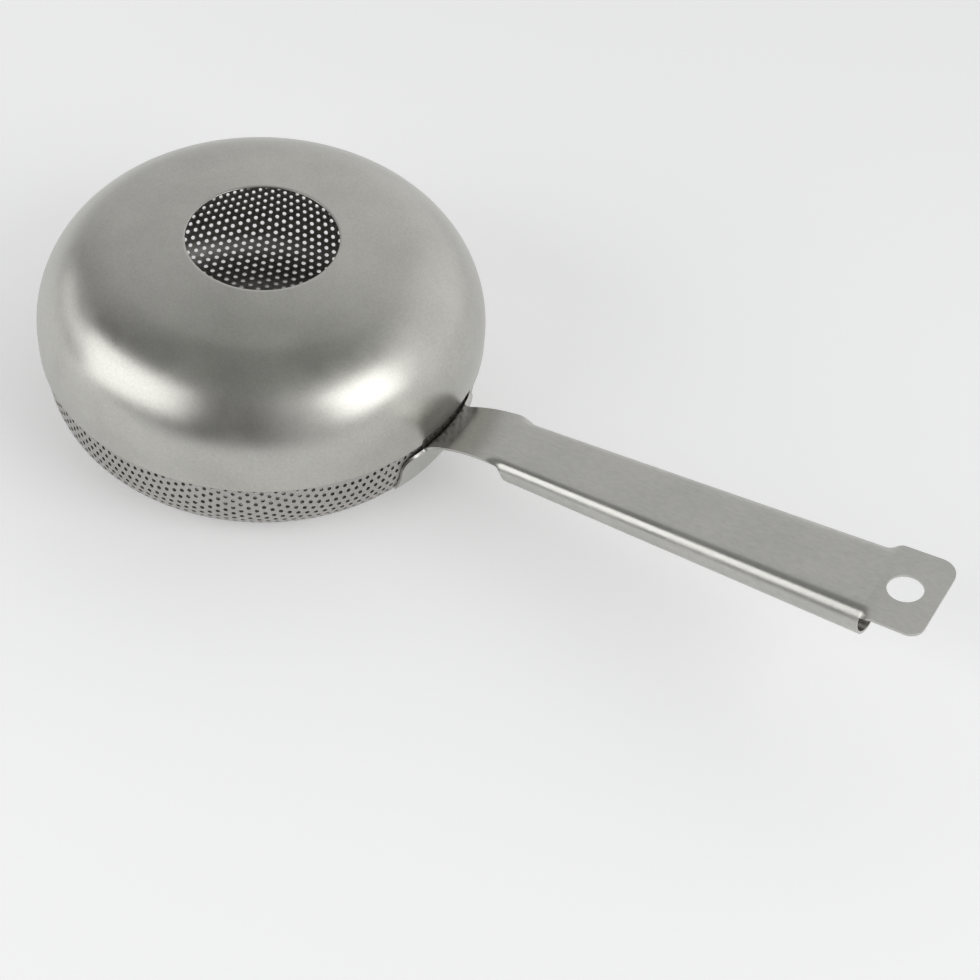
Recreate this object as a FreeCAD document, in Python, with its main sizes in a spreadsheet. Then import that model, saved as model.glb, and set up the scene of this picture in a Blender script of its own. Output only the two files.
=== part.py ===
import FreeCAD, Part
import math
import os
import Sketcher

# Stovetop coffee bean roaster: a perforated sheet basket with a stamped handle
# welded to its wall, and a domed cover with a round window that slips over the
# basket. The axis of the round body is Z, the basket stands on the plane Z = 0,
# and the handle points along +X.

os.makedirs("parts", exist_ok=True)
doc = FreeCAD.newDocument("coffee_roaster")

# ---------------------------------------------------------------- driving sizes
# All lengths are millimetres and all angles degrees.
SIZES = [
    ("cover_diameter", 115, "outside of the cover's skirt"),
    ("cover_sheet", 0.5, "sheet thickness of the cover"),
    ("dome_radius", 225, "crown radius of the cover's top"),
    ("shoulder_radius", 25, "outside radius of the rounded shoulder"),
    ("skirt_top", 27, "height where the skirt turns into the shoulder"),
    ("cover_rim", 23, "height of the skirt's lower edge"),
    ("window_diameter", 38.4, "round window in the crown"),
    ("notch_width", 23, "shallow notch in the skirt over the handle"),
    ("notch_height", 1.4, "height of that notch"),
    ("notch_corner", 0.7, "corner radius of the notch"),
    ("slip_clearance", 0.9, "radial gap between skirt and basket"),
    ("seat_drop", 1.2, "height the cover's shoulder stays above the basket's rim"),
    ("basket_sheet", 0.5, "sheet thickness of the basket"),
    ("basket_corner", 16, "outside radius between basket floor and wall"),
    ("hole_width", 3.8, "perforation hole, over its corners"),
    ("hole_sides", 6, "sides of a perforation hole"),
    ("floor_pitch", 9, "distance from hole to hole on the floor"),
    ("wall_pitch", 12, "distance from hole to hole round the corner and wall"),
    ("rim_land", 2.4, "plain sheet kept under the basket's rim"),
    ("flange_clearance", 0.1, "gap that the weld nuggets bridge"),
    ("handle_sheet", 0.7, "sheet thickness of the handle"),
    ("flange_width", 33.4, "width of the flange at its lower edge"),
    ("flange_slant", 3, "slant of the flange's sides"),
    ("flange_bottom", 9.5, "lower edge of the flange"),
    ("flange_curve", 41, "angle of the bend at the flange's upper edge beside the neck"),
    ("flange_corner", 4.4, "corner radius at the flange's upper edge"),
    ("flange_fillet", 1.8, "radius where the flange's upper edge runs into the neck"),
    ("bend_radius", 1.8, "inside radius of the bend from flange to neck"),
    ("neck_radius", 45.8, "inside radius of the arched neck, seen from the side"),
    ("neck_root_width", 17, "width of the neck at its root"),
    ("neck_width", 18.5, "width of the neck where the curled sides start"),
    ("neck_length", 17.4, "distance from the skirt to the end of the arched neck"),
    ("neck_height", 26.85, "height of the handle's top face there"),
    ("grip_angle", 8.85, "rise of the grip"),
    ("curl_setback", 2.1, "distance from there to the start of the curled sides"),
    ("grip_width_start", 18.6, "width over the curls at their start"),
    ("grip_width_end", 25.1, "width over the curls at their end"),
    ("curl_diameter_start", 6.8, "outside diameter of each curled side at its start"),
    ("curl_diameter_end", 8.4, "outside diameter of each curled side at its end"),
    ("curl_step", 0.02, "step from the grip's top face down to the curl"),
    ("curl_wrap", 270, "angle that the curled edge is rolled through"),
    ("tab_width", 25.2, "width of the flat hanging tab"),
    ("tab_length", 14.9, "length of the hanging tab beyond the curled sides"),
    ("tab_relief", 3.1, "length of the slanted cut between curl and tab"),
    ("tab_corner", 4.6, "corner radius of the tab"),
    ("handle_length", 129.7, "distance from the skirt to the end of the tab"),
    ("hang_diameter", 8.5, "hanging hole"),
    ("hang_margin", 9, "distance from the hanging hole's centre to the tab's end"),
    ("nugget_diameter", 2.6, "weld nugget"),
    ("nugget_lift", 0.8, "height of the weld nuggets above the basket's rounded corner"),
    ("nugget_count", 4, "weld nuggets in the row"),
    ("nugget_step", 8, "angle from one weld nugget to the next"),
]

sheet = doc.addObject("Spreadsheet::Sheet", "sizes")
for row, (alias, value, meaning) in enumerate(SIZES, start=1):
    sheet.set("A%d" % row, alias)
    sheet.set("B%d" % row, str(value))
    sheet.set("C%d" % row, meaning)
    sheet.setAlias("B%d" % row, alias)
doc.recompute()


def size(alias):
    """The expression that reads one driving size."""
    return "sizes." + alias


def number(expression):
    """The present value of an expression, as a plain number."""
    result = sheet.evalExpression(expression.replace("sizes.", ""))
    return float(getattr(result, "Value", result))


# ------------------------------------------------------- sizes that follow others
cover_r = f"({size('cover_diameter')} / 2)"
cover_inner_r = f"({cover_r} - {size('cover_sheet')})"
window_r = f"({size('window_diameter')} / 2)"
shoulder_x = f"({cover_r} - {size('shoulder_radius')})"
shoulder_inner = f"({size('shoulder_radius')} - {size('cover_sheet')})"
dome_inner = f"({size('dome_radius')} - {size('cover_sheet')})"
dome_reach = f"({size('dome_radius')} - {size('shoulder_radius')})"
dome_rise = f"sqrt({dome_reach}^2 - {shoulder_x}^2)"
dome_z = f"({size('skirt_top')} - {dome_rise})"

basket_r = f"({cover_inner_r} - {size('slip_clearance')})"
floor_r = f"({basket_r} - {size('basket_corner')})"
corner_inner = f"({size('basket_corner')} - {size('basket_sheet')})"
seat_z = (
    f"({size('skirt_top')} + sqrt({shoulder_inner}^2"
    f" - ({shoulder_inner} - {size('slip_clearance')})^2))"
)
basket_rim = f"({seat_z} - {size('seat_drop')})"

neck_end = f"({cover_r} + {size('neck_length')})"
curl_start = f"({neck_end} + {size('curl_setback')})"
handle_end = f"({cover_r} + {size('handle_length')})"
curl_end = f"({handle_end} - {size('tab_length')})"

flange_inner = f"({basket_r} + {size('flange_clearance')})"
flange_outer = f"({flange_inner} + {size('handle_sheet')})"
bend_outer = f"({size('bend_radius')} + {size('handle_sheet')})"
bend_x = f"({flange_outer} + {size('bend_radius')})"
grip_cos = f"cos({size('grip_angle')} * 1 deg)"
grip_sin = f"sin({size('grip_angle')} * 1 deg)"
grip_tan = f"tan({size('grip_angle')} * 1 deg)"

# The neck's arch is tangent to the grip at its far end and to the bend at its root.
arch_outer = f"({size('neck_radius')} + {size('handle_sheet')})"
arch_x = f"({neck_end} + {arch_outer} * {grip_sin})"
arch_z = f"({size('neck_height')} - {arch_outer} * {grip_cos})"
arch_reach = f"({arch_outer} - {bend_outer})"
arch_rise = f"sqrt({arch_reach}^2 - ({arch_x} - {bend_x})^2)"
bend_z = f"({arch_z} + {arch_rise})"
root_sin = f"(({arch_x} - {bend_x}) / {arch_reach})"
root_cos = f"({arch_rise} / {arch_reach})"
root_x = f"({bend_x} - {bend_outer} * {root_sin})"
root_lap_x = f"({root_x} + 3 * {size('handle_sheet')})"
flange_top = f"({bend_z} + {bend_outer} * sin({size('flange_curve')} * 1 deg))"


def grip_top(x):
    """Height of the grip's top face at a distance x from the axis."""
    return f"({size('neck_height')} + {grip_tan} * ({x} - {neck_end}))"


# ------------------------------------------------------------------ small helpers
def new_body(label):
    body = doc.addObject("PartDesign::Body", label)
    body.Label = label
    body.Placement = FreeCAD.Placement()
    return body


def origin_feature(body, role):
    for feature in body.Origin.OriginFeatures:
        if feature.Role == role:
            return feature
    raise RuntimeError("no origin feature " + role)


def new_sketch(body, name, plane):
    """An empty sketch on one of the body's own origin planes."""
    sketch = body.newObject("Sketcher::SketchObject", name)
    sketch.AttachmentSupport = [(origin_feature(body, plane), "")]
    sketch.MapMode = "FlatFace"
    return sketch


def hold(sketch, kind, geometry, point, expression):
    """Hold one coordinate of a point to an expression."""
    value = number(expression)
    constraint = Sketcher.Constraint(kind, -1, 1, geometry, point, value)
    index = sketch.addConstraint(constraint)
    sketch.setExpression("Constraints[%d]" % index, expression)


def arc_between(start, end, radius, turn):
    """The arc under 180 degrees from start to end; turn is +1 for left-hand."""
    chord = end - start
    half = chord.Length / 2
    middle = (start + end) * 0.5
    left = FreeCAD.Vector(-chord.y, chord.x, 0).normalize()
    centre = middle + left * (turn * math.sqrt(max(radius * radius - half * half, 0)))
    first = math.atan2(start.y - centre.y, start.x - centre.x)
    last = math.atan2(end.y - centre.y, end.x - centre.x)
    circle = Part.Circle(centre, FreeCAD.Vector(0, 0, 1), radius)
    if turn > 0:
        return Part.ArcOfCircle(circle, first, last)
    return Part.ArcOfCircle(circle, last, first)


def outline(sketch, corners):
    """A closed outline. Each corner is (x, y) or (x, y, radius, turn), where the
    radius belongs to the arc that leaves that corner."""
    points = [FreeCAD.Vector(number(c[0]), number(c[1]), 0) for c in corners]
    edges = []
    for i, corner in enumerate(corners):
        start = points[i]
        end = points[(i + 1) % len(points)]
        if len(corner) == 2:
            geometry = sketch.addGeometry(Part.LineSegment(start, end), False)
            edges.append((geometry, 1, 2))
            continue
        arc = arc_between(start, end, number(corner[2]), corner[3])
        geometry = sketch.addGeometry(arc, False)
        edges.append((geometry, 1, 2) if corner[3] > 0 else (geometry, 2, 1))
    for i, (geometry, first, last) in enumerate(edges):
        following = edges[(i + 1) % len(edges)]
        sketch.addConstraint(
            Sketcher.Constraint("Coincident", geometry, last, following[0], following[1])
        )
    for corner, (geometry, first, last) in zip(corners, edges):
        hold(sketch, "DistanceX", geometry, first, corner[0])
        hold(sketch, "DistanceY", geometry, first, corner[1])
        if len(corner) == 4:
            radius = Sketcher.Constraint("Radius", geometry, number(corner[2]))
            index = sketch.addConstraint(radius)
            sketch.setExpression("Constraints[%d]" % index, corner[2])


def revolve(body, name, sketch):
    """A revolution of a sketch round the body's axis."""
    feature = body.newObject("PartDesign::Revolution", name)
    feature.Profile = sketch
    feature.ReferenceAxis = (sketch, ["V_Axis"])
    return feature


def volume(body):
    doc.recompute()
    return body.Shape.Volume


def check_cut(body, before, name):
    if volume(body) >= before:
        raise RuntimeError(name + " removed nothing")


# ---------------------------------------------------------------------- top cover
def make_cover():
    """A spun shell: crown, rounded shoulder and straight skirt, with the window
    in the crown and a shallow notch in the skirt over the handle's neck."""
    body = new_body("top_cover")
    profile = new_sketch(body, "cover_profile", "XZ_Plane")
    tangent_x = f"({shoulder_x} / {dome_reach})"
    tangent_z = f"({dome_rise} / {dome_reach})"
    outside = size("shoulder_radius")
    outline(profile, [
        (window_r, f"{dome_z} + sqrt({size('dome_radius')}^2 - {window_r}^2)",
         size("dome_radius"), -1),
        (f"{shoulder_x} + {outside} * {tangent_x}",
         f"{size('skirt_top')} + {outside} * {tangent_z}", outside, -1),
        (cover_r, size("skirt_top")),
        (cover_r, size("cover_rim")),
        (cover_inner_r, size("cover_rim")),
        (cover_inner_r, size("skirt_top"), shoulder_inner, 1),
        (f"{shoulder_x} + {shoulder_inner} * {tangent_x}",
         f"{size('skirt_top')} + {shoulder_inner} * {tangent_z}", dome_inner, 1),
        (window_r, f"{dome_z} + sqrt({dome_inner}^2 - {window_r}^2)"),
    ])
    shell = revolve(body, "cover_shell", profile)
    shell.Angle = 360
    before = volume(body)

    notch = new_sketch(body, "notch_outline", "YZ_Plane")
    side = f"({size('notch_width')} / 2)"
    low = f"({size('cover_rim')} - {size('cover_sheet')})"
    top = f"({size('cover_rim')} + {size('notch_height')})"
    corner = size("notch_corner")
    outline(notch, [
        (side, low),
        (side, f"{top} - {corner}", corner, 1),
        (f"{side} - {corner}", top),
        (f"{corner} - {side}", top, corner, 1),
        (f"-{side}", f"{top} - {corner}"),
        (f"-{side}", low),
    ])
    cut = body.newObject("PartDesign::Pocket", "neck_notch")
    cut.Profile = notch
    cut.Type = "ThroughAll"
    cut.Reversed = True
    check_cut(body, before, "neck_notch")
    return body


# --------------------------------------------------------------- perforated basket
def perforate(body, name, place, count, stagger):
    """One ring of holes. place is (x, z, tilt): the point on the outer face and
    the tilt of the hole's axis from vertical. Staggered rings are turned by half
    a step, so that their holes sit between those of the next ring."""
    x, z, tilt = place
    support = origin_feature(body, "XY_Plane")
    if stagger:
        turned = body.newObject("PartDesign::Plane", name + "_turn")
        turned.AttachmentSupport = [(support, "")]
        turned.MapMode = "FlatFace"
        turned.AttachmentOffset = FreeCAD.Placement(
            FreeCAD.Vector(), FreeCAD.Rotation(FreeCAD.Vector(0, 0, 1), 1)
        )
        turned.setExpression("AttachmentOffset.Rotation.Angle", f"180 / {count} * 1 deg")
        support = turned
    over = size("basket_sheet")
    hole = body.newObject("PartDesign::SubtractivePrism", name + "_hole")
    hole.AttachmentSupport = [(support, "")]
    hole.MapMode = "FlatFace"
    hole.AttachmentOffset = FreeCAD.Placement(
        FreeCAD.Vector(), FreeCAD.Rotation(FreeCAD.Vector(0, -1, 0), 1)
    )
    hole.setExpression("AttachmentOffset.Rotation.Angle", f"{tilt} * 1 deg")
    hole.setExpression("AttachmentOffset.Base.x", f"{x} + sin({tilt} * 1 deg) * {over}")
    hole.setExpression("AttachmentOffset.Base.z", f"{z} - cos({tilt} * 1 deg) * {over}")
    hole.setExpression("Polygon", size("hole_sides"))
    hole.setExpression("Circumradius", f"{size('hole_width')} / 2")
    hole.setExpression("Height", f"4 * {over}")
    ring = body.newObject("PartDesign::PolarPattern", name)
    ring.Originals = [hole]
    ring.Axis = (origin_feature(body, "Z_Axis"), [""])
    ring.Angle = 360
    ring.setExpression("Occurrences", count)
    body.Tip = ring


def make_basket():
    """A drawn bowl of perforated sheet: flat floor, large rounded corner and
    straight wall, with rings of holes over all three."""
    body = new_body("perforated_basket")
    profile = new_sketch(body, "basket_profile", "XZ_Plane")
    inner_r = f"({basket_r} - {size('basket_sheet')})"
    corner = size("basket_corner")
    outline(profile, [
        ("0", "0"),
        (floor_r, "0", corner, 1),
        (basket_r, corner),
        (basket_r, basket_rim),
        (inner_r, basket_rim),
        (inner_r, corner, corner_inner, -1),
        (floor_r, size("basket_sheet")),
        ("0", size("basket_sheet")),
    ])
    shell = revolve(body, "basket_shell", profile)
    shell.Angle = 360
    before = volume(body)

    half = f"({size('hole_width')} / 2)"
    floor_pitch = size("floor_pitch")
    floor_rings = int(number(f"floor(({floor_r} - {half}) / {floor_pitch})"))
    for ring in range(1, floor_rings + 1):
        place = (f"{ring} * {floor_pitch}", "0", "0")
        perforate(body, f"floor_ring_{ring}", place, f"{6 * ring}", False)

    row = f"({size('wall_pitch')} * sqrt(3) / 2)"
    around = f"round(2 * pi * {basket_r} / {size('wall_pitch')})"
    corner_rows = int(number(f"floor({corner} * pi / 2 / {row})"))
    for step in range(1, corner_rows + 1):
        tilt = f"({step} * 90 / {corner_rows + 0.5})"
        x = f"({floor_r} + {corner} * sin({tilt} * 1 deg))"
        z = f"({corner} - {corner} * cos({tilt} * 1 deg))"
        perforate(body, f"corner_ring_{step}", (x, z, tilt), around, step % 2 == 0)

    wall_start = f"({corner} + {row} / 2)"
    wall_top = f"({basket_rim} - {size('rim_land')} - {half})"
    wall_rows = int(number(f"floor(({wall_top} - {wall_start}) / {row})")) + 1
    for step in range(wall_rows):
        z = f"({wall_start} + {step} * {row})"
        stagger = (corner_rows + step + 1) % 2 == 0
        perforate(body, f"wall_ring_{step + 1}", (basket_r, z, "90"), around, stagger)
    check_cut(body, before, "perforation")
    return body


# -------------------------------------------------------------------------- handle
def half_section(body, name, corners, sweep):
    """A section revolved by a share of a turn, evenly to both sides of +X."""
    sketch = new_sketch(body, name + "_section", "XZ_Plane")
    outline(sketch, corners)
    feature = revolve(body, name, sketch)
    feature.Midplane = True
    feature.setExpression("Angle", sweep)


def flange_sweep(width, radius):
    """The angle that a width takes at a radius from the axis."""
    return f"2 * asin({width} / 2 / {radius})"


def bend_point(radius):
    """Where the bend ends and the arch starts, on the face with this bend radius."""
    return (f"{bend_x} - {radius} * {root_sin}", f"{bend_z} + {radius} * {root_cos}")


def flange_edge(radius):
    """The flange's upper edge beside the neck, on the face with this bend radius."""
    curve = f"({size('flange_curve')} * 1 deg)"
    return (f"{bend_x} - {radius} * cos({curve})", f"{bend_z} + {radius} * sin({curve})")


def grip_start(depth, along):
    """A point under the start of the grip's top face, moved along the grip."""
    return (
        f"{neck_end} + {depth} * {grip_sin} + {along} * {grip_cos}",
        f"{size('neck_height')} - {depth} * {grip_cos} + {along} * {grip_sin}",
    )


def make_strip(body):
    """The arched neck, which carries on the basket's round as far as the grip,
    and the flat grip with its tab, both trimmed to their plan."""
    thick = size("handle_sheet")
    lap = f"(1.5 * {thick})"
    half_section(body, "neck_arch", [
        bend_point(bend_outer) + (arch_outer, -1),
        grip_start("0", "0"),
        grip_start("0", lap),
        grip_start(thick, lap),
        grip_start(thick, "0") + (size("neck_radius"), 1),
        bend_point(size("bend_radius")),
    ], flange_sweep(f"({size('neck_width')} + 2 * {thick})", root_x))

    side = new_sketch(body, "strip_side", "XZ_Plane")
    end = (handle_end, grip_top(handle_end))
    outline(side, [
        grip_start("0", "0"),
        end,
        (f"{end[0]} + {thick} * {grip_sin}", f"{end[1]} - {thick} * {grip_cos}"),
        grip_start(thick, "0"),
    ])
    strip = body.newObject("PartDesign::Pad", "strip")
    strip.Profile = side
    strip.Midplane = True
    strip.setExpression("Length", f"{size('grip_width_end')} + 2 * {thick}")
    before = volume(body)

    # The plan: waste outside, handle inside.
    plan = new_sketch(body, "strip_plan", "XY_Plane")
    waste = size("grip_width_end")
    root = f"({size('neck_root_width')} / 2)"
    neck = f"({size('neck_width')} / 2)"
    flat_start = f"(({size('grip_width_start')} - {size('curl_diameter_start')}) / 2)"
    flat_end = f"(({size('grip_width_end')} - {size('curl_diameter_end')}) / 2)"
    tab = f"({size('tab_width')} / 2)"
    corner = size("tab_corner")
    reach = f"({handle_end} + {thick} * {grip_sin})"
    near = f"({root_x} - {thick})"
    upper = [
        (near, root),
        (root_lap_x, root),
        (curl_start, neck),
        (curl_start, flat_start),
        (curl_end, flat_end),
        (f"{curl_end} + {size('tab_relief')}", tab),
        (f"{reach} - {corner}", tab),
        (reach, f"({tab} - {corner})"),
    ]
    lower = [(x, f"-{y}") for x, y in reversed(upper)]
    shape = upper + lower
    rounded = {len(upper) - 2, len(upper)}
    outline(plan, [
        (x, y, corner, -1) if i in rounded else (x, y)
        for i, (x, y) in enumerate(shape)
    ])
    far = f"({reach} + {waste})"
    inner = f"({near} - {waste})"
    outline(plan, [(inner, waste), (far, waste), (far, f"-{waste}"), (inner, f"-{waste}")])
    trim = body.newObject("PartDesign::Pocket", "strip_trim")
    trim.Profile = plan
    trim.Type = "ThroughAll"
    trim.Reversed = True
    check_cut(body, before, "strip_trim")


def make_flange(body):
    """The flange follows the basket's wall and corner, and its top flares out
    into the neck."""
    corner = size("basket_corner")
    inner_r = f"({corner} + {size('flange_clearance')})"
    outer_r = f"({inner_r} + {size('handle_sheet')})"
    low = f"({corner} - {size('flange_bottom')})"
    low_inner = f"({floor_r} + sqrt({inner_r}^2 - {low}^2))"
    low_outer = f"({floor_r} + sqrt({outer_r}^2 - {low}^2))"
    half_section(body, "flange", [
        (low_inner, size("flange_bottom")),
        (low_outer, size("flange_bottom"), outer_r, 1),
        (flange_outer, corner),
        (flange_outer, bend_z, size("bend_radius"), -1),
        flange_edge(size("bend_radius")),
        flange_edge(bend_outer) + (bend_outer, 1),
        (flange_inner, bend_z),
        (flange_inner, corner, inner_r, -1),
    ], flange_sweep(size("flange_width"), flange_outer))
    lap_cos = f"(({arch_x} - {root_lap_x}) / {arch_outer})"
    lap_rise = f"sqrt(1 - {lap_cos}^2)"
    half_section(body, "neck_bend", [
        (flange_inner, bend_z, bend_outer, -1),
        bend_point(bend_outer) + (arch_outer, -1),
        (root_lap_x, f"{arch_z} + {arch_outer} * {lap_rise}"),
        (f"{arch_x} - {size('neck_radius')} * {lap_cos}",
         f"{arch_z} + {size('neck_radius')} * {lap_rise}", size("neck_radius"), 1),
        bend_point(size("bend_radius")) + (size("bend_radius"), 1),
        (flange_outer, bend_z),
    ], flange_sweep(f"({size('neck_root_width')} + 2 * {size('flange_fillet')})", bend_x))

    # Seen along the handle, the flange is a trapezium with rounded upper corners
    # that runs into the neck with a fillet on each side.
    low_half = f"({size('flange_width')} / 2)"
    slant = f"({size('flange_slant')} * 1 deg)"
    top = flange_top
    top_half = f"({low_half} - ({top} - {size('flange_bottom')}) * tan({slant}))"
    root = f"({size('neck_root_width')} / 2)"
    fillet = size("flange_fillet")
    half_turn = f"tan((90 deg - {slant}) / 2)"
    room = f"({top_half} - {root} - {fillet})"
    rounding = f"min({size('flange_corner')}; 0.95 * {room} / {half_turn})"
    trim_length = f"({rounding} * {half_turn})"
    under = f"({size('flange_bottom')} - {size('handle_sheet')})"
    over = f"({size('neck_height')} + {size('handle_sheet')})"
    foot = f"({low_half} + {size('handle_sheet')} * tan({slant}))"
    right = [
        (foot, under),
        (f"{top_half} + {trim_length} * sin({slant})",
         f"{top} - {trim_length} * cos({slant})"),
        (f"{top_half} - {trim_length}", top),
        (f"{root} + {fillet}", top),
        (root, f"{top} + {fillet}"),
        (root, over),
    ]
    left = [(f"-({y})", z) for y, z in reversed(right)]
    arcs = {
        1: (rounding, 1), 3: (fillet, -1),
        7: (fillet, -1), 9: (rounding, 1),
    }
    front = new_sketch(body, "flange_front", "YZ_Plane")
    front.setExpression("AttachmentOffset.Base.z", root_lap_x)
    outline(front, [
        corner_point + arcs.get(i, ()) for i, corner_point in enumerate(right + left)
    ])
    clear = f"({foot} + {size('handle_sheet')})"
    floor_z = f"({under} - {size('handle_sheet')})"
    roof_z = f"({over} + {size('handle_sheet')})"
    outline(front, [
        (clear, floor_z), (clear, roof_z), (f"-{clear}", roof_z), (f"-{clear}", floor_z),
    ])
    before = volume(body)
    cut = body.newObject("PartDesign::Pocket", "flange_trim")
    cut.Profile = front
    cut.setExpression("Length", f"{root_lap_x} - {floor_r}")
    check_cut(body, before, "flange_trim")


def curl_section(body, name, x, width, diameter):
    """The curl's ring section at a distance x from the axis."""
    outer = f"({diameter} / 2)"
    inner = f"({outer} - {size('handle_sheet')})"
    centre_y = f"({outer} - {width} / 2)"
    centre_z = f"({grip_top(x)} - {size('curl_step')} - {outer})"
    tuck = 10
    arcs = 3
    step = f"(({size('curl_wrap')} + {tuck}) / {arcs})"
    angles = [f"((90 - {tuck} + {i} * {step}) * 1 deg)" for i in range(arcs + 1)]

    def on_ring(radius, angle):
        return (f"{centre_y} + {radius} * cos({angle})", f"{centre_z} + {radius} * sin({angle})")

    section = new_sketch(body, name, "YZ_Plane")
    section.setExpression("AttachmentOffset.Base.z", x)
    corners = [on_ring(outer, angle) + (outer, 1) for angle in angles[:-1]]
    corners.append(on_ring(outer, angles[-1]))
    corners += [on_ring(inner, angle) + (inner, -1) for angle in angles[:0:-1]]
    corners.append(on_ring(inner, angles[0]))
    outline(section, corners)
    return section


def make_curls(body):
    """Both long edges of the grip are curled under. The curl grows wider towards
    the tab and is mirrored to the other side."""
    start = curl_section(
        body, "curl_start_section", curl_start,
        size("grip_width_start"), size("curl_diameter_start"),
    )
    end = curl_section(
        body, "curl_end_section", curl_end,
        size("grip_width_end"), size("curl_diameter_end"),
    )
    curl = body.newObject("PartDesign::AdditiveLoft", "curl")
    curl.Profile = start
    curl.Sections = [end]
    curl.Ruled = True
    other = body.newObject("PartDesign::Mirrored", "other_curl")
    other.Originals = [curl]
    other.MirrorPlane = (origin_feature(body, "XZ_Plane"), [""])
    body.Tip = other
    doc.recompute()


def make_hanging_hole(body):
    before = volume(body)
    centre_x = f"({handle_end} - {size('hang_margin')} * {grip_cos})"
    sketch = new_sketch(body, "hang_circle", "XY_Plane")
    sketch.AttachmentOffset = FreeCAD.Placement(
        FreeCAD.Vector(), FreeCAD.Rotation(FreeCAD.Vector(0, -1, 0), 1)
    )
    sketch.setExpression("AttachmentOffset.Rotation.Angle", f"{size('grip_angle')} * 1 deg")
    sketch.setExpression("AttachmentOffset.Base.x", centre_x)
    sketch.setExpression("AttachmentOffset.Base.z", grip_top(centre_x))
    radius = f"({size('hang_diameter')} / 2)"
    circle = Part.Circle(FreeCAD.Vector(), FreeCAD.Vector(0, 0, 1), number(radius))
    geometry = sketch.addGeometry(circle, False)
    sketch.addConstraint(Sketcher.Constraint("Coincident", geometry, 3, -1, 1))
    index = sketch.addConstraint(Sketcher.Constraint("Radius", geometry, number(radius)))
    sketch.setExpression("Constraints[%d]" % index, radius)
    hole = body.newObject("PartDesign::Pocket", "hanging_hole")
    hole.Profile = sketch
    hole.Type = "ThroughAll"
    hole.Midplane = True
    check_cut(body, before, "hanging_hole")


def make_handle():
    """One stamping: flange, neck, grip with curled sides, and hanging tab."""
    body = new_body("handle")
    make_strip(body)
    make_flange(body)
    make_curls(body)
    make_hanging_hole(body)
    return body


# -------------------------------------------------------------------- spot welds
def make_welds():
    """A row of nuggets in the gap between flange and basket wall. Each is a
    round plug, cut to the gap's own curved faces."""
    gap_outer = doc.addObject("Part::Cylinder", "gap_outer")
    gap_outer.setExpression("Radius", flange_inner)
    gap_inner = doc.addObject("Part::Cylinder", "gap_inner")
    gap_inner.setExpression("Radius", basket_r)
    for cylinder in (gap_outer, gap_inner):
        cylinder.setExpression("Height", basket_rim)
    gap = doc.addObject("Part::Cut", "gap")
    gap.Base = gap_outer
    gap.Tool = gap_inner
    plugs = []
    lay = FreeCAD.Rotation(FreeCAD.Vector(0, 1, 0), 90)
    count = int(number(size("nugget_count")))
    for i in range(count):
        plug = doc.addObject("Part::Cylinder", f"plug_{i + 1}")
        plug.setExpression("Radius", f"{size('nugget_diameter')} / 2")
        plug.setExpression("Height", f"{basket_r} + {size('nugget_diameter')}")
        angle = (i - (count - 1) / 2) * number(size("nugget_step"))
        turn = FreeCAD.Rotation(FreeCAD.Vector(0, 0, 1), angle)
        plug.Placement = FreeCAD.Placement(FreeCAD.Vector(), turn * lay)
        height = f"{size('basket_corner')} + {size('nugget_lift')}"
        plug.setExpression("Placement.Base.z", height)
        plugs.append(plug)
    stems = doc.addObject("Part::MultiFuse", "plugs")
    stems.Shapes = plugs
    welds = doc.addObject("Part::Common", "spot_welds")
    welds.Label = "spot_welds"
    welds.Base = gap
    welds.Tool = stems
    doc.recompute()
    return welds


parts = [make_basket(), make_handle(), make_welds(), make_cover()]
doc.recompute()

for thing in doc.Objects:
    if "Invalid" in thing.State or "Error" in thing.State:
        raise RuntimeError("failed: " + thing.Label)
for part in parts:
    if part.Shape.isNull() or not part.Shape.isValid():
        raise RuntimeError("bad shape: " + part.Label)
    part.Shape.exportStep("parts/" + part.Label + ".step")
    print(part.Label, "%.0f mm3" % part.Shape.Volume, len(part.Shape.Solids), part.Shape.BoundBox)
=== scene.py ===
import math

import bmesh
import bpy
from mathutils import Matrix, Vector


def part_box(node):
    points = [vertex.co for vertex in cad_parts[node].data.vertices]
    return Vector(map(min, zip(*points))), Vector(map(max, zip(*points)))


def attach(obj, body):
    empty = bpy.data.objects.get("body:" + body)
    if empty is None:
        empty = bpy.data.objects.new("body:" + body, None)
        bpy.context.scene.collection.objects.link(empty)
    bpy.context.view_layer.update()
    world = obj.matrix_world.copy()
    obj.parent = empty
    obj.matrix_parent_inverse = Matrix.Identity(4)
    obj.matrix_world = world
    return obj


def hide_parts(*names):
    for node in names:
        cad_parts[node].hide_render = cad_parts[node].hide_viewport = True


# Looks of a stovetop coffee bean roaster: a perforated steel basket with a
# stamped handle, under a loose domed cover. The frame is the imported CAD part:
# metres, Z up along the axis of the round body, the handle along +X.

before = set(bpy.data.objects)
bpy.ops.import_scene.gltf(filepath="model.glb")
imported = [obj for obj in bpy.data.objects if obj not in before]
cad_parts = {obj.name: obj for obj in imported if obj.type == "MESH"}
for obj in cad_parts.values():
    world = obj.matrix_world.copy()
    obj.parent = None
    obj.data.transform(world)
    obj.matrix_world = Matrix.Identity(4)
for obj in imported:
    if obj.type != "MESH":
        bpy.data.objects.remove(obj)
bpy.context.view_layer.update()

MM = 0.001


# ------------------------------------------------------------------ driving sizes
# Read from the frame where a box gives them, otherwise as the part has them.
cover_low, cover_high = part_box("top_cover")
basket_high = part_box("perforated_basket")[1]
handle_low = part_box("handle")[0]

COVER_R = min(cover_high.x, cover_high.y, -cover_low.x, -cover_low.y) / MM
COVER_RIM = cover_low.z / MM
SKIRT_TOP = 27.0
SHOULDER_R = 25.0
DOME_R = 225.0
WINDOW_R = 19.2
SHEET = 0.5
NOTCH_HALF = 11.5
NOTCH_RISE = 1.4

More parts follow.
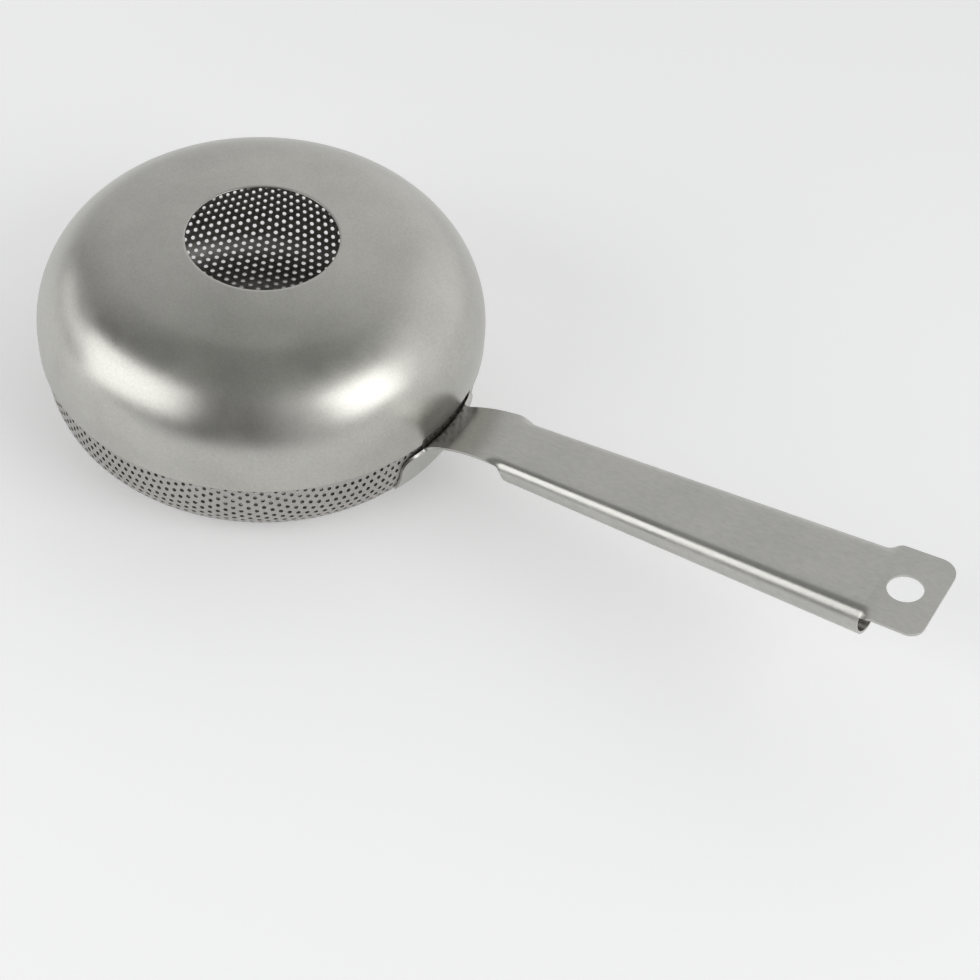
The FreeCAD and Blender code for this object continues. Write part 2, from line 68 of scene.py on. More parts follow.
SLIP_GAP = 0.9
BASKET_R = COVER_R - SHEET - SLIP_GAP
BASKET_RIM = basket_high.z / MM
BASKET_CORNER = 16.0
FLOOR_R = BASKET_R - BASKET_CORNER
# The perforation of the flat blank, turned and shifted against the bowl's axis.
# The pitch is assumed. So is the growth of the spacing from the wall to the floor:
# it keeps the count of holes between the axis and the wall.
HOLE_PITCH = 2.0
HOLE_R = 0.50
HOLE_TURN = math.radians(58.27)
HOLE_SHIFT = Vector((-0.34, 0.70))
CELL_SIDES = 12
FLOOR_STRETCH = 1.36
WALL_STRETCH = 1.259
STRETCH_START = 28.0
STRETCH_END = 47.0

HANDLE_SHEET = 0.7
FLANGE_GAP = 0.1
FLANGE_R = BASKET_R + FLANGE_GAP
FLANGE_BOTTOM = handle_low.z / MM
FLANGE_HALF = 16.7
FLANGE_SLANT = math.radians(3)
FLANGE_CURVE = math.radians(41)
FLANGE_CORNER = 4.4
FLANGE_FILLET = 1.8
BEND_R = 2.5
NECK_R = 46.5
NECK_LENGTH = 17.4
NECK_X = COVER_R + NECK_LENGTH
NECK_Z = 26.85
NECK_ROOT_HALF = 8.5
NECK_HALF = 9.25
GRIP_SLOPE = math.radians(8.85)
PLATE_HALF_START = 6.63
PLATE_HALF_END = 8.75
CURL_R_START = 3.0
CURL_R_END = 4.15
# The curl's pieces: the angle each turns through, and its radius as a share of
# the curl's. The roll starts tight and has a flatter flank.
ROLL = ((math.radians(45), 0.70), (math.radians(35), 1.45), (math.radians(190), 0.87))
ROLL_LENGTH = sum(turn * share for turn, share in ROLL)
CURL_SLANT = 1.5
CURL_SETBACK = 2.1
CURL_START = NECK_X + CURL_SETBACK
FLARE_LEAD = 1.0
FLARE_LENGTH = 3.5
FLARE_START = CURL_START - FLARE_LEAD
FLARE_END = CURL_START + FLARE_LENGTH
TAB_LENGTH = 14.9
TAB_RELIEF = 3.1
TAB_HALF = 12.55
TAB_CORNER_FAR = 4.6
TAB_CORNER_NEAR = 3.4
TAB_EDGE = 3.6
HANDLE_LENGTH = 129.2
HANDLE_END = COVER_R + HANDLE_LENGTH
CURL_OVERRUN = 0.4
CURL_END = HANDLE_END - TAB_LENGTH + CURL_OVERRUN
TAB_START = CURL_END + TAB_RELIEF
# The curl on the far side ends earlier, and its edge opens out more slowly.
FAR_SETBACK = 3.3
FAR_RELIEF = 4.2
FAR_CURL_END = CURL_END - FAR_SETBACK
FAR_TAB_START = FAR_CURL_END + FAR_RELIEF
HANG_R = 4.25
HANG_MARGIN = 8.5
HANG_X = HANDLE_END - HANG_MARGIN * math.cos(GRIP_SLOPE)


# ------------------------------------------------------------------ small helpers
def smooth(low, high, value):
    """0 below low, 1 above high, with a smooth change between."""
    share = min(max((value - low) / (high - low), 0.0), 1.0)
    return share * share * (3 - 2 * share)


def mix(a, b, share):
    return a + (b - a) * share


def spread(low, high, count):
    """count + 1 evenly spread values from low to high."""
    return [mix(low, high, i / count) for i in range(count + 1)]


def mesh_object(name, points, faces):
    """A mesh object from points in millimetres."""
    mesh = bpy.data.meshes.new(name)
    mesh.from_pydata([tuple(c * MM for c in p) for p in points], [], faces)
    mesh.validate()
    thing = bpy.data.objects.new(name, mesh)
    bpy.context.scene.collection.objects.link(thing)
    return thing


def settle(thing, sharp=40):
    """Applies the modifiers and shades the piece smooth up to a sharp angle."""
    depsgraph = bpy.context.evaluated_depsgraph_get()
    mesh = bpy.data.meshes.new_from_object(thing.evaluated_get(depsgraph))
    thing.modifiers.clear()
    thing.data = mesh
    mesh.polygons.foreach_set("use_smooth", [True] * len(mesh.polygons))
    mesh.set_sharp_from_angle(angle=math.radians(sharp))
    return thing


def even_normals(mesh):
    """Turns all faces of a mesh outwards."""
    work = bmesh.new()
    work.from_mesh(mesh)
    bmesh.ops.remove_doubles(work, verts=work.verts, dist=0.002 * MM)
    bmesh.ops.recalc_face_normals(work, faces=work.faces)
    work.to_mesh(mesh)
    work.free()


# -------------------------------------------------------------------------- cover
def arc(centre, radius, start, end, count):
    """Points (r, z) on an arc, angles in radians from the +r direction."""
    return [
        (centre[0] + radius * math.cos(a), centre[1] + radius * math.sin(a))
        for a in spread(start, end, count)
    ]


def sheet_loop(line, thickness, rounding):
    """A closed section of sheet: the line is its outer face, and both cut edges
    are rounded."""
    def normal(i):
        before = Vector(line[max(i - 1, 0)])
        after = Vector(line[min(i + 1, len(line) - 1)])
        along = (after - before).normalized()
        return Vector((along.y, -along.x)), along

    outer, inner = [], []
    for i, point in enumerate(line):
        inward, along = normal(i)
        point = Vector(point)
        outer.append(point)
        inner.append(point + inward * thickness)
    first_in, first_along = normal(0)
    last_in, last_along = normal(len(line) - 1)
    start = Vector(line[0])
    end = Vector(line[-1])
    outer[0] = start + first_along * rounding
    outer[-1] = end - last_along * rounding
    inner[0] = start + first_in * thickness + first_along * rounding
    inner[-1] = end + last_in * thickness - last_along * rounding
    end_cap = [end + last_in * rounding, end + last_in * (thickness - rounding)]
    start_cap = [start + first_in * (thickness - rounding), start + first_in * rounding]
    return outer + end_cap + inner[::-1] + start_cap


def cover_line():
    """The cover's outer face from the window's edge to the skirt's rim."""
    shoulder_x = COVER_R - SHOULDER_R
    reach = DOME_R - SHOULDER_R
    dome_z = SKIRT_TOP - math.sqrt(reach ** 2 - shoulder_x ** 2)
    tangent = math.acos(shoulder_x / reach)
    dome = arc((0, dome_z), DOME_R, math.acos(WINDOW_R / DOME_R), tangent, 24)
    shoulder = arc((shoulder_x, SKIRT_TOP), SHOULDER_R, tangent, 0, 40)
    skirt = [(COVER_R, z) for z in spread(SKIRT_TOP, COVER_RIM, 8)]
    return dome + shoulder[1:] + skirt[1:]


def notch_lift(angle):
    """How far the skirt's rim is cut back over the handle's neck."""
    side = COVER_R * math.sin(angle)
    if math.cos(angle) < 0:
        return 0.0
    return NOTCH_RISE * (1 - smooth(NOTCH_HALF - 0.7, NOTCH_HALF, abs(side)))


def cover_angles():
    """Angles of the cover's columns, closer together at the notch's corners."""
    corner = math.asin(NOTCH_HALF / COVER_R)
    angles = set(spread(-math.pi, math.pi, 288)[:-1])
    for sign in (-1, 1):
        near = spread(corner - math.radians(1.2), corner + math.radians(0.4), 12)
        angles.update(sign * a for a in near)
    return sorted(angles)


def make_cover():
    loop = sheet_loop(cover_line(), SHEET, 0.12)
    points = []
    angles = cover_angles()
    for angle in angles:
        lift = notch_lift(angle)
        for r, z in loop:
            share = 1 - smooth(COVER_RIM + 0.2, SKIRT_TOP, z) if z < SKIRT_TOP else 0
            points.append((r * math.cos(angle), r * math.sin(angle), z + lift * share))
    count = len(loop)
    faces = []
    for i in range(len(angles)):
        a, b = i * count, (i + 1) % len(angles) * count
        for k in range(count):
            n = (k + 1) % count
            faces.append((a + k, b + k, b + n, a + n))
    cover = mesh_object("domed_cover", points, faces)
    even_normals(cover.data)
    return settle(cover, 50)


# ------------------------------------------------------------------------- basket
def drawn(x, y):
    """Where a point of the flat blank goes on the bowl. The spacing is widest on
    the floor."""
    turned = Matrix.Rotation(HOLE_TURN, 2) @ Vector((x, y)) + HOLE_SHIFT
    rho = turned.length
    length = rho * mix(FLOOR_STRETCH, WALL_STRETCH, smooth(STRETCH_START, STRETCH_END, rho))
    corner_length = BASKET_CORNER * math.pi / 2
    if length < FLOOR_R:
        r, z = length, 0.0
    elif length < FLOOR_R + corner_length:
        turn = (length - FLOOR_R) / BASKET_CORNER
        r = FLOOR_R + BASKET_CORNER * math.sin(turn)
        z = BASKET_CORNER * (1 - math.cos(turn))
    else:
        r = BASKET_R
        z = BASKET_CORNER + length - FLOOR_R - corner_length
    return (turned.x / rho * r, turned.y / rho * r, z)


def perforated_sheet():
    """The basket's outer face as one surface of six-sided cells, each with a
    round hole, carried from the flat into the bowl."""
    profile = FLOOR_R + BASKET_CORNER * (math.pi / 2 - 1) + BASKET_RIM
    reach = profile / WALL_STRETCH + 2 * HOLE_PITCH
    edge_r = HOLE_PITCH / 2
    rows = int(reach / (HOLE_PITCH * math.sqrt(3) / 2)) + 1
    columns = int(reach / HOLE_PITCH) + 1
    points, index, faces = [], {}, []

    def vertex(x, y):
        key = (round(x, 4), round(y, 4))
        if key not in index:
            index[key] = len(points)
            points.append(drawn(x, y))
        return index[key]

    for row in range(-rows, rows + 1):
        for column in range(-columns, columns + 1):
            x = (column + (row % 2) / 2) * HOLE_PITCH
            y = row * HOLE_PITCH * math.sqrt(3) / 2
            if math.hypot(x, y) > reach:
                continue
            rim, hole = [], []
            for side in range(CELL_SIDES):
                angle = side * 2 * math.pi / CELL_SIDES
                away = edge_r if side % 2 == 0 else edge_r / math.cos(math.pi / 6)
                rim.append(vertex(x + away * math.cos(angle), y + away * math.sin(angle)))
                hole.append(vertex(x + HOLE_R * math.cos(angle), y + HOLE_R * math.sin(angle)))
            for side in range(CELL_SIDES):
                n = (side + 1) % CELL_SIDES
                faces.append((rim[side], rim[n], hole[n], hole[side]))
    return points, faces


def make_basket():
    points, faces = perforated_sheet()
    basket = mesh_object("perforated_bowl", points, faces)
    work = bmesh.new()
    work.from_mesh(basket.data)
    bmesh.ops.bisect_plane(
        work, geom=work.verts[:] + work.edges[:] + work.faces[:], dist=1e-7,
        plane_co=(0, 0, BASKET_RIM * MM), plane_no=(0, 0, 1), clear_outer=True,
    )
    for face in work.faces:
        face.normal_update()
    middle = min(work.faces, key=lambda face: face.calc_center_median().length)
    if middle.normal.z > 0:
        bmesh.ops.reverse_faces(work, faces=work.faces)
    work.to_mesh(basket.data)
    work.free()
    wall = basket.modifiers.new("sheet", "SOLIDIFY")
    wall.thickness = SHEET * MM
    wall.offset = -1
    return settle(basket, 35)


# ------------------------------------------------------------------------- handle
# Seen from the side, the neck is one arch, tangent to the grip at its far end and
# to the small bend above the flange at its root.
ARCH = Vector((NECK_X + NECK_R * math.sin(GRIP_SLOPE), NECK_Z - NECK_R * math.cos(GRIP_SLOPE)))
BEND_X = FLANGE_R + BEND_R
BEND_Z = ARCH.y + math.sqrt((NECK_R - BEND_R) ** 2 - (ARCH.x - BEND_X) ** 2)
ROOT_Z = BEND_Z + BEND_R * (BEND_Z - ARCH.y) / (NECK_R - BEND_R)
FLANGE_TOP = BEND_Z + BEND_R * math.sin(FLANGE_CURVE)


def grip_z(x):
    """Height of the grip's upper face."""
    return NECK_Z + math.tan(GRIP_SLOPE) * (x - NECK_X)


def flange_x(z):
    """Place of the upper face at a height, from the flange up into the arch."""
    if z < BASKET_CORNER:
        return FLOOR_R + math.sqrt((BASKET_CORNER + 0.1) ** 2 - (BASKET_CORNER - z) ** 2)
    if z < BEND_Z:
        return FLANGE_R
    if z < ROOT_Z:
        return BEND_X - math.sqrt(BEND_R ** 2 - (z - BEND_Z) ** 2)
    return ARCH.x - math.sqrt(NECK_R ** 2 - (z - ARCH.y) ** 2)


def neck_z(x):
    """Height of the upper face from the arch on."""
    if x > NECK_X:
        return grip_z(x)
    return ARCH.y + math.sqrt(NECK_R ** 2 - (x - ARCH.x) ** 2)


def flange_half(z):
    """Half width of the flange and of the fillets into the neck at a height."""
    if z > FLANGE_TOP:
        rise = min(z - FLANGE_TOP, FLANGE_FILLET)
        bow = math.sqrt(FLANGE_FILLET ** 2 - (FLANGE_FILLET - rise) ** 2)
        return NECK_ROOT_HALF + FLANGE_FILLET - bow
    side = FLANGE_HALF - (z - FLANGE_BOTTOM) * math.tan(FLANGE_SLANT)
    drop = FLANGE_TOP - z
    if drop < FLANGE_CORNER:
        bow = math.sqrt(FLANGE_CORNER ** 2 - (FLANGE_CORNER - drop) ** 2)
        side -= FLANGE_CORNER - bow
    return side


def flange_heights():
    """Heights of the rows up to the neck: evenly spread round the flange's rounded
    corners and round the fillets."""
    quarter = math.pi / 2
    heights = spread(FLANGE_BOTTOM, FLANGE_TOP - FLANGE_CORNER, 10)
    low = FLANGE_TOP - FLANGE_CORNER
    heights += [low + FLANGE_CORNER * math.sin(t) for t in spread(0, quarter, 14)[1:]]
    turns = spread(0.1, quarter, 10)
    heights += [FLANGE_TOP + FLANGE_FILLET * (1 - math.cos(t)) for t in turns]
    return heights


def along_grip(x):
    """Share of the way from the curls' start to their end."""
    return max(x - CURL_START, 0) / (CURL_END - CURL_START)


def curl_radius(x):
    return mix(CURL_R_START, CURL_R_END, along_grip(x))


def plate_half(x):
    """Half width of the part of the strip that stays flat between the curls."""
    return mix(PLATE_HALF_START, PLATE_HALF_END, along_grip(x))


def neck_half(x, z):
    """Half width of the strip before the curls."""
    if z < FLANGE_TOP + FLANGE_FILLET:
        return flange_half(z)
    root = flange_x(FLANGE_TOP + FLANGE_FILLET)
    return mix(NECK_ROOT_HALF, NECK_HALF, min((x - root) / (CURL_START - root), 1))


def rim_reach(x, z):
    """How far the plain sheet reaches beyond its flat part, along the sheet."""
    if x < FLARE_START:
        return neck_half(x, z) - plate_half(x)
    start = NECK_HALF - plate_half(FLARE_START)
    return mix(start, TAB_EDGE, min((x - FLARE_START) / (CURL_END - FLARE_START), 1))


def curl_reach(x, z):
    """How far the curled sheet reaches. It grows quickly where the curl begins."""
    plain = rim_reach(x, z)
    share = min((x - FLARE_START) / (FLARE_END - FLARE_START), 1) ** 1.7
    return mix(plain, ROLL_LENGTH * curl_radius(x), share)


def rolled(reach, radius, share):
    """How far out and down a length of the roll goes; share 0 is flat sheet."""
    out = down = angle = 0.0
    for turn, part in ROLL:
        length = min(reach, radius * part * turn)
        bend = share / (radius * part)
        after = angle + bend * length
        if after - angle > 1e-4:
            out += (math.sin(after) - math.sin(angle)) / bend
            down += (math.cos(angle) - math.cos(after)) / bend
        else:
            out += length * math.cos(angle)
            down += length * math.sin(angle)
        angle = after
        reach -= length
    return out, down


def sheet_point(station, across):
    """A point of the upper face. The station is (x, z, slope); across is measured
    along the sheet from the handle's middle line."""
    x, z, slope_x, slope_z = station
    flat = plate_half(x)
    side, down = across, 0.0
    reach = abs(across) - flat
    if across > 0:
        opened = smooth(FAR_CURL_END, FAR_TAB_START, x)
    else:
        opened = smooth(CURL_END, TAB_START, x)
    ends = smooth(CURL_START - 4.5, CURL_START + 0.5, x) * (1 - opened)
    if reach > 0:
        out, down = rolled(reach, curl_radius(x), ends)
        side = math.copysign(flat + out, across)
    round_share = 1 - smooth(FLANGE_R + 6, CURL_START + 3, x)
    back = (x - math.sqrt(max(x * x - side * side, 0))) * round_share
    return (x - back + down * slope_z, side, z - down * slope_x)


def curl_point(row, across, reach):
    """A point of the curl. Its end is cut at a slant: the inner turn is longer."""
    x, slope_x, slope_z = row[0], row[2], row[3]
    turn = (abs(across) - plate_half(x)) / reach
    stretch = max(x - FLARE_END, 0) / (CURL_END - FLARE_END)
    shift = CURL_SLANT * smooth(0.25, 0.95, turn) * stretch
    point = sheet_point(row, across)
    return (point[0] + shift * slope_x, point[1], point[2] + shift * slope_z)


def stations():
    """Rows of the handle from the flange's lower edge to the end of the curls."""
    path = [(flange_x(z), z) for z in flange_heights()]
    x = path[-1][0]
    lengths = spread(x, FLARE_START, 30)[1:] + spread(FLARE_START, FLARE_END, 24)[1:]
    lengths += spread(FLARE_END, FAR_CURL_END, 60)[1:] + spread(FAR_CURL_END, CURL_END, 14)[1:]
    path += [(x, neck_z(x)) for x in lengths]
    rows = []
    for i, (x, z) in enumerate(path):
        before = path[max(i - 1, 0)]
        after = path[min(i + 1, len(path) - 1)]
        along = Vector((after[0] - before[0], after[1] - before[1])).normalized()
        rows.append((x, z, along.x, along.y))
    return rows


def grid_faces(points, rows):
    """Adds rows of equally many points, and returns the faces between them."""
    wide = len(rows[0])
    first = len(points)
    for row in rows:
        points += row
    return [
        (a, a + wide, a + wide + 1, a + 1)
        for i in range(len(rows) - 1)
        for a in range(first + i * wide, first + (i + 1) * wide - 1)
    ]


def handle_rows():
    """The grids of the handle's upper face: the strip, both curls, and the edges
    of the sheet between the curls' ends and the tab."""
    rows = stations()
    strip, curls, edges = [], {-1: [], 1: []}, {-1: [], 1: []}
    for row in rows:
        flat, rim = plate_half(row[0]), rim_reach(row[0], row[1])
        across = spread(-flat - rim, -flat, 8) + spread(-flat, flat, 12)[1:]
        across += spread(flat, flat + rim, 8)[1:]
        strip.append([sheet_point(row, s) for s in across])
        if row[0] > FLARE_START - 1e-6:
            reach = curl_reach(row[0], row[1])
            run = spread(flat + rim, flat + reach, 24)
            for side in (-1, 1):
                if side < 0 or row[0] < FAR_CURL_END + 1e-6:
                    curls[side].append([curl_point(row, side * s, reach) for s in run])
    slope = (math.cos(GRIP_SLOPE), math.sin(GRIP_SLOPE))
    for x in spread(CURL_END, TAB_START, 10):
        row = (x, grip_z(x), *slope)
        flat = plate_half(x)
        edge = spread(flat, flat + TAB_EDGE, 8)
        for side in (-1, 1):
            edges[side].append([sheet_point(row, side * s) for s in edge])
    return [strip, curls[-1], curls[1], edges[-1], edges[1]]


def tab_outline(edges):
    """The flat tab: across the end of the strip, along the inner sides of the two
    edge grids, and round the tab's end."""
    left, right = edges
    flat = plate_half(CURL_END)
    row = (CURL_END, grip_z(CURL_END), math.cos(GRIP_SLOPE), math.sin(GRIP_SLOPE))
    ring = [sheet_point(row, s) for s in spread(-flat, flat, 12)]
    ring += [line[0] for line in right[1:]] + right[-1][1:]
    corners = []
    for radius in (TAB_CORNER_FAR, TAB_CORNER_NEAR):
        centre = (HANDLE_END - radius, TAB_HALF - radius)
        corners.append(arc(centre, radius, math.pi / 2, 0, 14))
    end = corners[0] + [(x, -y) for x, y in reversed(corners[1])]
    ring += [(x, y, grip_z(x)) for x, y in end]
    ring += left[-1][:0:-1] + [line[0] for line in reversed(left[1:])]
    return ring


def fill_tab(work, outline):
    """Fills the tab's outline, with the hanging hole left open."""
    hole = []
    for angle in spread(0, 2 * math.pi, 56)[:-1]:
        x = HANG_X + HANG_R * math.cos(angle) * math.cos(GRIP_SLOPE)
        hole.append((x, HANG_R * math.sin(angle), grip_z(x)))
    edges = []
    for loop in (outline, hole):
        ring = [work.verts.new(Vector(p) * MM) for p in loop]
        edges += [work.edges.new((v, ring[(i + 1) % len(ring)])) for i, v in enumerate(ring)]
    upward = (-math.sin(GRIP_SLOPE), 0, math.cos(GRIP_SLOPE))
    bmesh.ops.triangle_fill(work, edges=edges, use_beauty=False, normal=upward)


def make_handle():
    points, faces = [], []
    grids = handle_rows()
    for rows in grids:
        faces += grid_faces(points, rows)
    handle = mesh_object("curled_handle", points, faces)
    work = bmesh.new()
    work.from_mesh(handle.data)
    fill_tab(work, tab_outline(grids[-2:]))
    bmesh.ops.remove_doubles(work, verts=work.verts, dist=0.003 * MM)
    bmesh.ops.recalc_face_normals(work, faces=work.faces)
    x = (NECK_X + HANG_X) / 2
    middle = Vector((x, 0, grip_z(x))) * MM
    plate = min(work.faces, key=lambda face: (face.calc_center_median() - middle).length)
    if plate.normal.z < 0:
        bmesh.ops.reverse_faces(work, faces=work.faces)
    work.to_mesh(handle.data)
    work.free()
    sheet = handle.modifiers.new("sheet", "SOLIDIFY")
    sheet.thickness = HANDLE_SHEET * MM
    sheet.offset = -1
    sheet.use_even_offset = True
    return settle(handle, 40)


# ---------------------------------------------------------------------- materials
FLOOR_LIFT = 0.24
# The room's grey by direction, from the side away from BACK_AZIMUTH to that side.
BACK_AZIMUTH = 65
WORLD = [(0.0, 0.03), (0.2, 0.10), (0.33, 0.33), (0.5, 0.58), (0.8, 0.80), (1.0, 1.0)]
WORLD_TOP = (0.285, 0.29, 0.28)


class Nodes:
    """A material's node tree, with short ways to add and join nodes."""

    def __init__(self, name):
        self.material = bpy.data.materials.new(name)
        self.material.use_nodes = True
        self.tree = self.material.node_tree
        self.shader = self.tree.nodes["Principled BSDF"]

    def add(self, kind, **inputs):
        node = self.tree.nodes.new(kind)
        for key, value in inputs.items():
            node.inputs[key.replace("_", " ")].default_value = value
        return node

    def join(self, output, socket):
        self.tree.links.new(output, socket)

    def noise(self, vector, scale, detail, roughness=0.5):
        node = self.add("ShaderNodeTexNoise", Scale=scale, Detail=detail, Roughness=roughness)
        self.join(vector, node.inputs["Vector"])
        return node.outputs["Fac"]

    def span(self, value, low, high, from_low=0.0, from_high=1.0):
        node = self.add("ShaderNodeMapRange")
        node.inputs["From Min"].default_value = from_low
        node.inputs["From Max"].default_value = from_high
        node.inputs["To Min"].default_value = low
        node.inputs["To Max"].default_value = high
        self.join(value, node.inputs["Value"])
        return node.outputs["Result"]

    def colours(self, value, dark, light, low=0.3, high=0.7):
        node = self.add("ShaderNodeValToRGB")
        ramp = node.color_ramp.elements
        ramp[0].position, ramp[0].color = low, (*dark, 1)
        ramp[1].position, ramp[1].color = high, (*light, 1)
        self.join(value, node.inputs["Fac"])
        return node.outputs["Color"]

    def bump(self, height, strength, distance, after=None):
        node = self.add("ShaderNodeBump", Strength=strength, Distance=distance)
        self.join(height, node.inputs["Height"])
        if after is not None:
            self.join(after, node.inputs["Normal"])
        return node.outputs["Normal"]


def satin_steel(name, dark, light, roughness, grain, stretch=(1, 1, 1)):
    """Tumbled stainless sheet: a fine even grain, faint clouds in the colour and
    in the gloss, and slow waves left by forming."""
    nodes = Nodes(name)
    place = nodes.add("ShaderNodeTexCoord").outputs["Object"]
    mapping = nodes.add("ShaderNodeMapping", Scale=stretch)
    nodes.join(place, mapping.inputs["Vector"])
    clouds = nodes.noise(place, 45, 4, 0.6)
    fine = nodes.noise(mapping.outputs["Vector"], grain, 3, 0.6)
    waves = nodes.noise(place, 28, 1)
    nodes.shader.inputs["Metallic"].default_value = 1.0
    tone = nodes.add("ShaderNodeMath")
    nodes.join(clouds, tone.inputs[0])
    nodes.join(nodes.span(fine, -0.16, 0.16, 0.3, 0.7), tone.inputs[1])
    colour = nodes.colours(tone.outputs["Value"], dark, light)
    nodes.join(colour, nodes.shader.inputs["Base Color"])
    gloss = nodes.span(clouds, roughness[0], roughness[1], 0.3, 0.7)
    nodes.join(gloss, nodes.shader.inputs["Roughness"])
    formed = nodes.bump(waves, 0.25, 0.00012)
    nodes.join(nodes.bump(fine, 0.35, 0.00001, formed), nodes.shader.inputs["Normal"])
    return nodes.material


def floor_material():
    """A pale matt table. What is seen of it, directly or mirrored, is lifted a
    little, and the object's shadow stays."""
    nodes = Nodes("pale_table")
    place = nodes.add("ShaderNodeTexCoord").outputs["Object"]
    clouds = nodes.noise(place, 3, 2)
    colour = nodes.colours(clouds, (0.86, 0.862, 0.868), (0.88, 0.882, 0.888))
    nodes.join(colour, nodes.shader.inputs["Base Color"])
    nodes.join(nodes.span(clouds, 0.75, 0.85), nodes.shader.inputs["Roughness"])
    nodes.shader.inputs["Specular IOR Level"].default_value = 0.1
    nodes.shader.inputs["Emission Color"].default_value = (1, 1, 1, 1)
    path = nodes.add("ShaderNodeLightPath").outputs
    seen = path["Is Camera Ray"]
    for kind in ("Is Glossy Ray", "Is Transmission Ray"):
        both = nodes.add("ShaderNodeMath")
        both.operation = "MAXIMUM"
        nodes.join(seen, both.inputs[0])
        nodes.join(path[kind], both.inputs[1])
        seen = both.outputs["Value"]
    nodes.join(nodes.span(seen, 0.0, FLOOR_LIFT), nodes.shader.inputs["Emission Strength"])
    return nodes.material


# -------------------------------------------------------------------------- studio
def make_floor():
    half = 2500
    floor = mesh_object(
        "table", [(-half, -half, 0), (half, -half, 0), (half, half, 0), (-half, half, 0)],
        [(0, 1, 2, 3)],
    )
    floor.location.z = -0.0001
    floor.data.materials.append(floor_material())


def softbox(name, azimuth, elevation, distance, size, radiance, roll=0):
    """A lamp that faces the object. The azimuth is counted from +X."""
    lamp = bpy.data.lights.new(name, "AREA")
    lamp.shape = "RECTANGLE"
    lamp.size, lamp.size_y = size
    lamp.energy = radiance * size[0] * size[1] * math.pi
    thing = bpy.data.objects.new(name, lamp)
    bpy.context.scene.collection.objects.link(thing)
    azimuth, elevation = math.radians(azimuth), math.radians(elevation)
    away = Vector((
        math.cos(azimuth) * math.cos(elevation),
        math.sin(azimuth) * math.cos(elevation),
        math.sin(elevation),
    ))
    aim = Vector((0.02, 0, 0.02))
    thing.location = aim + away * distance
    turn = Matrix.Rotation(math.radians(roll), 3, "Z")
    thing.rotation_euler = (away.to_track_quat("Z", "Y").to_matrix() @ turn).to_euler()


def make_world(back_azimuth):
    """A soft room: light behind the object, dim on the camera's side, and a grey
    ceiling."""
    world = bpy.data.worlds.new("studio")
    world.use_nodes = True
    bpy.context.scene.world = world
    tree = world.node_tree
    place = tree.nodes.new("ShaderNodeTexCoord").outputs["Generated"]
    dot = tree.nodes.new("ShaderNodeVectorMath")
    dot.operation = "DOT_PRODUCT"
    turn = math.radians(back_azimuth)
    dot.inputs[1].default_value = (math.cos(turn), math.sin(turn), 0)
    tree.links.new(place, dot.inputs[0])
    ramp = tree.nodes.new("ShaderNodeValToRGB")
    span = tree.nodes.new("ShaderNodeMapRange")
    span.inputs["From Min"].default_value = -1
    span.inputs["From Max"].default_value = 1
    tree.links.new(dot.outputs["Value"], span.inputs["Value"])
    tree.links.new(span.outputs["Result"], ramp.inputs["Fac"])
    ramp.color_ramp.interpolation = "B_SPLINE"
    stops = ramp.color_ramp.elements
    for position, grey in WORLD[1:-1]:
        stops.new(position).color = (grey, grey, grey, 1)
    for stop, grey in ((stops[0], WORLD[0][1]), (stops[-1], WORLD[-1][1])):
        stop.color = (grey, grey, grey, 1)
    axes = tree.nodes.new("ShaderNodeSeparateXYZ")
    tree.links.new(place, axes.inputs["Vector"])
    height = tree.nodes.new("ShaderNodeMapRange")
    height.interpolation_type = "SMOOTHSTEP"
    height.inputs["From Min"].default_value = 0.72
    height.inputs["From Max"].default_value = 0.94
    tree.links.new(axes.outputs["Z"], height.inputs["Value"])
    room = tree.nodes.new("ShaderNodeMix")
    room.data_type = "RGBA"
    room.inputs["B"].default_value = (*WORLD_TOP, 1)
    tree.links.new(height.outputs["Result"], room.inputs["Factor"])
    tree.links.new(ramp.outputs["Color"], room.inputs["A"])
    tree.links.new(room.outputs["Result"], tree.nodes["Background"].inputs["Color"])


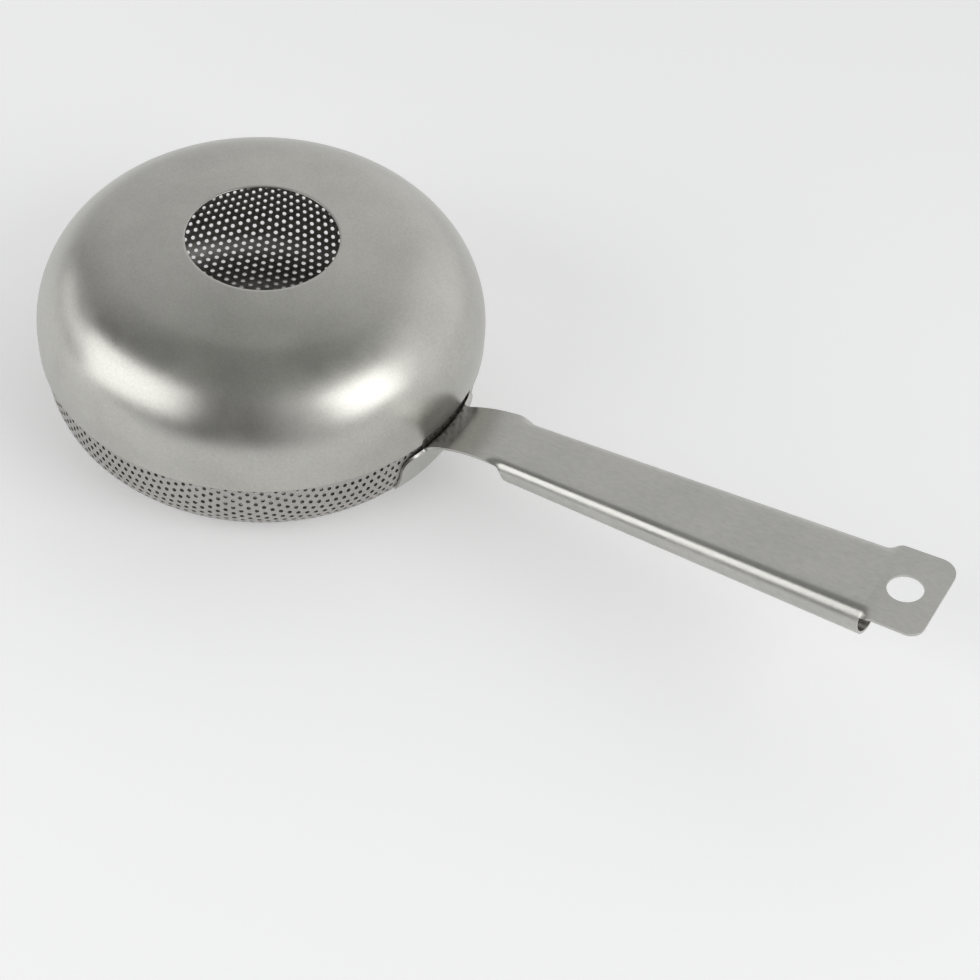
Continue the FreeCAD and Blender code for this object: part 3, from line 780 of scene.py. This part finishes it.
def make_camera():
    """Azimuth 0 looks along +Y and 90 along -X; roll turns the camera clockwise."""
    azimuth, elevation, roll = (math.radians(v) for v in (26.92, 48.49, 6.47))
    lens = bpy.data.cameras.new("camera")
    lens.sensor_width = 36
    lens.sensor_height = 36
    lens.sensor_fit = "HORIZONTAL"
    lens.lens = 73.1
    lens.clip_start = 0.01
    camera = bpy.data.objects.new("camera", lens)
    bpy.context.scene.collection.objects.link(camera)
    turn = (
        Matrix.Rotation(azimuth, 4, "Z")
        @ Matrix.Rotation(math.pi / 2 - elevation, 4, "X")
        @ Matrix.Rotation(roll, 4, "Z")
    )
    camera.matrix_world = Matrix.Translation((0.22386, -0.30119, 0.38704)) @ turn
    bpy.context.scene.camera = camera


# -------------------------------------------------------------------------- pieces
cover_steel = satin_steel(
    "cover_steel", (0.458, 0.453, 0.423), (0.548, 0.543, 0.508), (0.27, 0.36), 1600
)
basket_steel = satin_steel(
    "basket_steel", (0.40, 0.39, 0.37), (0.49, 0.48, 0.46), (0.32, 0.42), 1800
)
handle_steel = satin_steel(
    "handle_steel", (0.47, 0.468, 0.443), (0.555, 0.55, 0.52), (0.28, 0.38), 1400,
    (0.35, 1, 1),
)
weld_steel = satin_steel(
    "weld_steel", (0.42, 0.41, 0.40), (0.52, 0.51, 0.50), (0.4, 0.55), 2500
)

for piece, body, node, slot, steel in (
    (make_cover(), "cover", "top_cover", "cover_steel", cover_steel),
    (make_basket(), "basket", "perforated_basket", "basket_steel", basket_steel),
    (make_handle(), "basket", "handle", "handle_steel", handle_steel),
):
    piece.data.materials.clear()
    piece.data.materials.append(steel)
    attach(piece, body)
    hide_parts(node)

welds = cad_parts["spot_welds"]
welds.data.materials.clear()
welds.data.materials.append(weld_steel)

make_floor()
make_world(BACK_AZIMUTH)
softbox("left_softbox", -125, 25, 0.95, (0.96, 0.58), 2.05, 22)
softbox("side_softbox", -168, 12, 0.95, (0.5, 0.22), 1.1)
softbox("right_softbox", -1, 33, 0.95, (0.56, 0.56), 2.15)
make_camera()

bpy.context.scene.view_settings.view_transform = "Standard"
